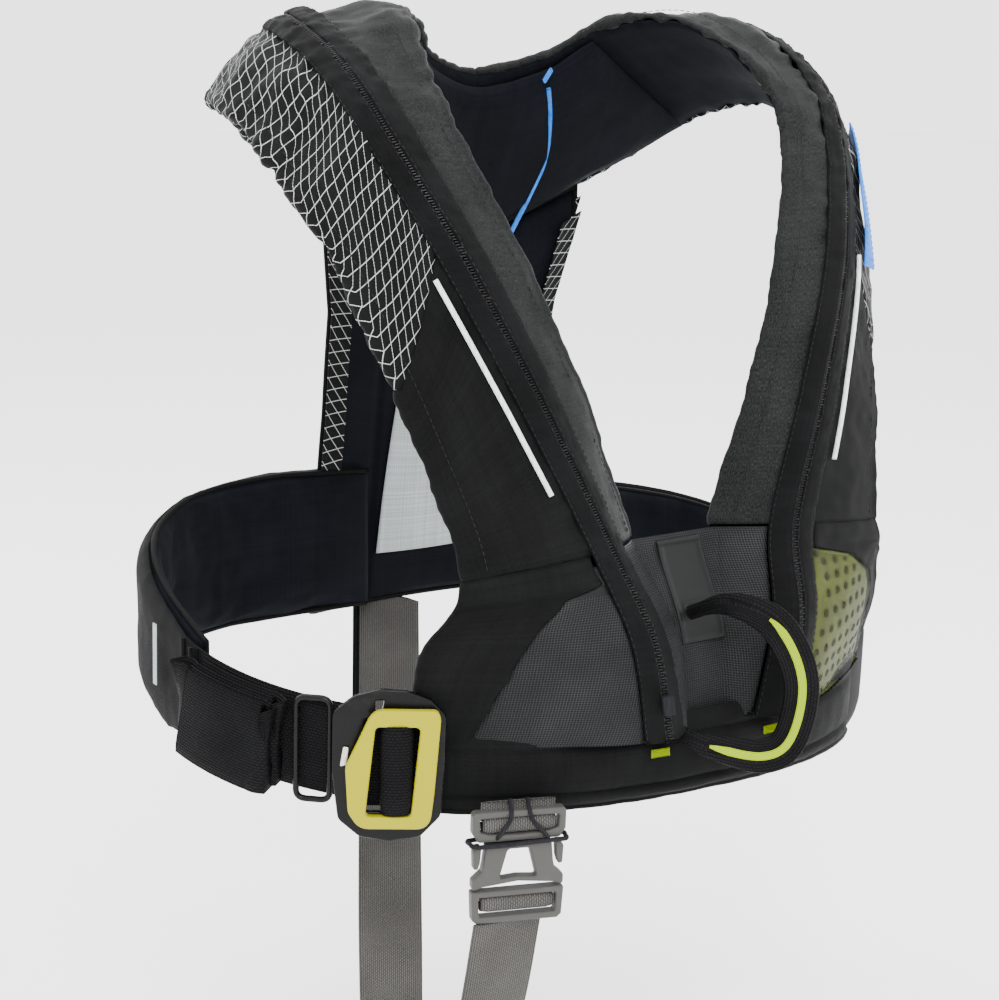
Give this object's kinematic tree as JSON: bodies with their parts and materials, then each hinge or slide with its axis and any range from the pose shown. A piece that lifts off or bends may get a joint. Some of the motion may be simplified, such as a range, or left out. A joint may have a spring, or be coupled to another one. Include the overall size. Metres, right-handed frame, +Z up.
{
  "type": "inflatable life jacket",
  "caption": "Inflatable life jacket with a zipped horseshoe cover, back pad, waist belt with a two-plate buckle, soft chest loop and a crotch strap with a release buckle.",
  "frame": {"origin": "middle of the wearer's shoulder line, where the jacket hangs", "axes": "+X towards the wearer's left, -Y to the front, +Z up"},
  "size_m": [0.4528, 0.3369, 0.6002],
  "materials": {
    "lining": "dark navy-black padded lining with a close weave",
    "bladder": "coated yellow bladder fabric",
    "ripstop": "dark grey ripstop, slightly shiny",
    "cover": "black woven cover fabric",
    "net": "dark grey embossed net, rubbery",
    "film": "clear flexible window film",
    "window_fabric": "olive yellow perforated fabric",
    "rubber": "matt black moulded rubber",
    "yellow_thread": "fluorescent yellow woven thread",
    "reflective": "silver reflective tape",
    "blue": "sky blue woven trim",
    "webbing_black": "black woven webbing with fine ribs",
    "webbing_grey": "mid grey woven webbing",
    "black_metal": "black anodised metal",
    "yellow_paint": "bright yellow powder coat",
    "grey_plastic": "dark grey moulded nylon",
    "yellow_plastic": "yellow moulded plastic",
    "black_plastic": "black moulded plastic",
    "steel": "plain steel"
  },
  "bodies": {
    "jacket": {"liner_right": "lining", "liner_left": "lining", "collar_pad": "lining", "back_pad": "lining", "belt_pad_right": "lining", "belt_pad_left": "lining", "bladder": "bladder", "cover_neck_side_right": "ripstop", "cover_neck_side_left": "ripstop", "cover_arm_side_right": "cover", "cover_arm_side_left": "cover", "cover_lower_right": "cover", "cover_lower_left": "cover", "zip_band_right": "cover", "zip_band_left": "cover", "lower_band": "cover", "belt_sleeve_right": "cover", "belt_sleeve_left": "cover", "net_panel_right": "net", "centre_front_panel": "net", "window_film": "film", "window_backing": "window_fabric", "label_patch": "rubber", "bar_tack_right": "yellow_thread", "bar_tack_left": "yellow_thread", "reflective_piping_right": "reflective", "reflective_piping_left": "reflective", "reflective_patch": "reflective", "blue_piping": "blue", "blue_tab": "blue", "belt_webbing": "webbing_black", "belt_return": "webbing_black", "belt_tail_fold": "webbing_black", "buckle_webbing": "webbing_black", "crotch_anchor_roll": "webbing_grey", "crotch_anchor": "webbing_grey", "crotch_strap_rear": "webbing_grey", "buckle_frame": "black_metal", "crotch_socket": "grey_plastic", "inflator_body": "yellow_plastic", "whistle": "yellow_plastic", "oral_tube": "black_plastic", "buckle_spring_clip": "steel"},
    "buckle_plate": {"buckle_plate": "yellow_paint", "buckle_pin": "black_metal", "buckle_roll": "webbing_black"},
    "belt_slide": {"belt_slide": "black_metal"},
    "crotch_release": {"crotch_tongue": "grey_plastic", "crotch_ladder": "grey_plastic", "crotch_strap_roll": "webbing_grey", "crotch_strap_front": "webbing_grey"},
    "crotch_latch_right": {"crotch_latch_right": "grey_plastic"},
    "crotch_latch_left": {"crotch_latch_left": "grey_plastic"},
    "chest_loop": {"chest_loop": "webbing_black", "chest_loop_stripe": "yellow_thread"},
    "zip_slider_right": {"zip_slider_right": "black_metal"},
    "zip_slider_left": {"zip_slider_left": "black_metal"},
    "gas_cylinder": {"gas_cylinder": "steel"},
    "inflator_lever": {"inflator_lever": "yellow_plastic"},
    "oral_tube_cap": {"oral_tube_cap": "black_plastic"}
  },
  "joints": [
    {"name": "buckle_plate_tilt", "type": "hinge", "parent": "jacket", "child": "buckle_plate", "pos_m": [-0.14569, -0.13937, -0.34376], "axis": [0, 0, 1], "range_deg": [0, 55]},
    {"name": "belt_slide_travel", "type": "slide", "parent": "jacket", "child": "belt_slide", "axis": [-0.699, 0.6953, 0.1669], "range_m": [0, 0.008]},
    {"name": "crotch_release_pull", "type": "slide", "parent": "jacket", "child": "crotch_release", "axis": [0, 0, -1], "range_m": [0, 0.02]},
    {"name": "crotch_latch_right_squeeze", "type": "hinge", "parent": "crotch_release", "child": "crotch_latch_right", "pos_m": [-0.13505, -0.15577, -0.403], "axis": [-0.3201, -0.9474, 0], "range_deg": [0, 4], "stiffness_Nm_per_rad": 0.05},
    {"name": "crotch_latch_left_squeeze", "type": "hinge", "parent": "crotch_release", "child": "crotch_latch_left", "pos_m": [-0.09375, -0.16973, -0.403], "axis": [-0.3201, -0.9474, 0], "range_deg": [-4, 0], "stiffness_Nm_per_rad": 0.05},
    {"name": "chest_loop_swing", "type": "hinge", "parent": "jacket", "child": "chest_loop", "pos_m": [-0.01265, -0.17363, -0.30988], "axis": [0.113, 0.4293, 0.8961], "range_deg": [-40, 8]},
    {"name": "zip_slider_right_travel", "type": "slide", "parent": "jacket", "child": "zip_slider_right", "axis": [-0.1866, 0.0121, 0.9824], "range_m": [0, 0.01]},
    {"name": "zip_slider_left_travel", "type": "slide", "parent": "jacket", "child": "zip_slider_left", "axis": [0.1866, 0.0121, 0.9824], "range_m": [0, 0.01]},
    {"name": "gas_cylinder_unscrew", "type": "hinge", "parent": "jacket", "child": "gas_cylinder", "pos_m": [0.0611, -0.15728, -0.30319], "axis": [0.1162, 0.1352, 0.984], "continuous": true},
    {"name": "inflator_lever_pull", "type": "hinge", "parent": "jacket", "child": "inflator_lever", "pos_m": [0.08236, -0.15004, -0.32583], "axis": [0.2901, -0.9554, -0.0559], "range_deg": [0, 20]},
    {"name": "oral_tube_cap_pull", "type": "slide", "parent": "jacket", "child": "oral_tube_cap", "axis": [0.0334, 0.0697, 0.997], "range_m": [0, 0.008]}
  ],
  "couplings": [
    {"joint": "crotch_latch_left_squeeze", "follows": "crotch_latch_right_squeeze", "ratio": -1}
  ]
}
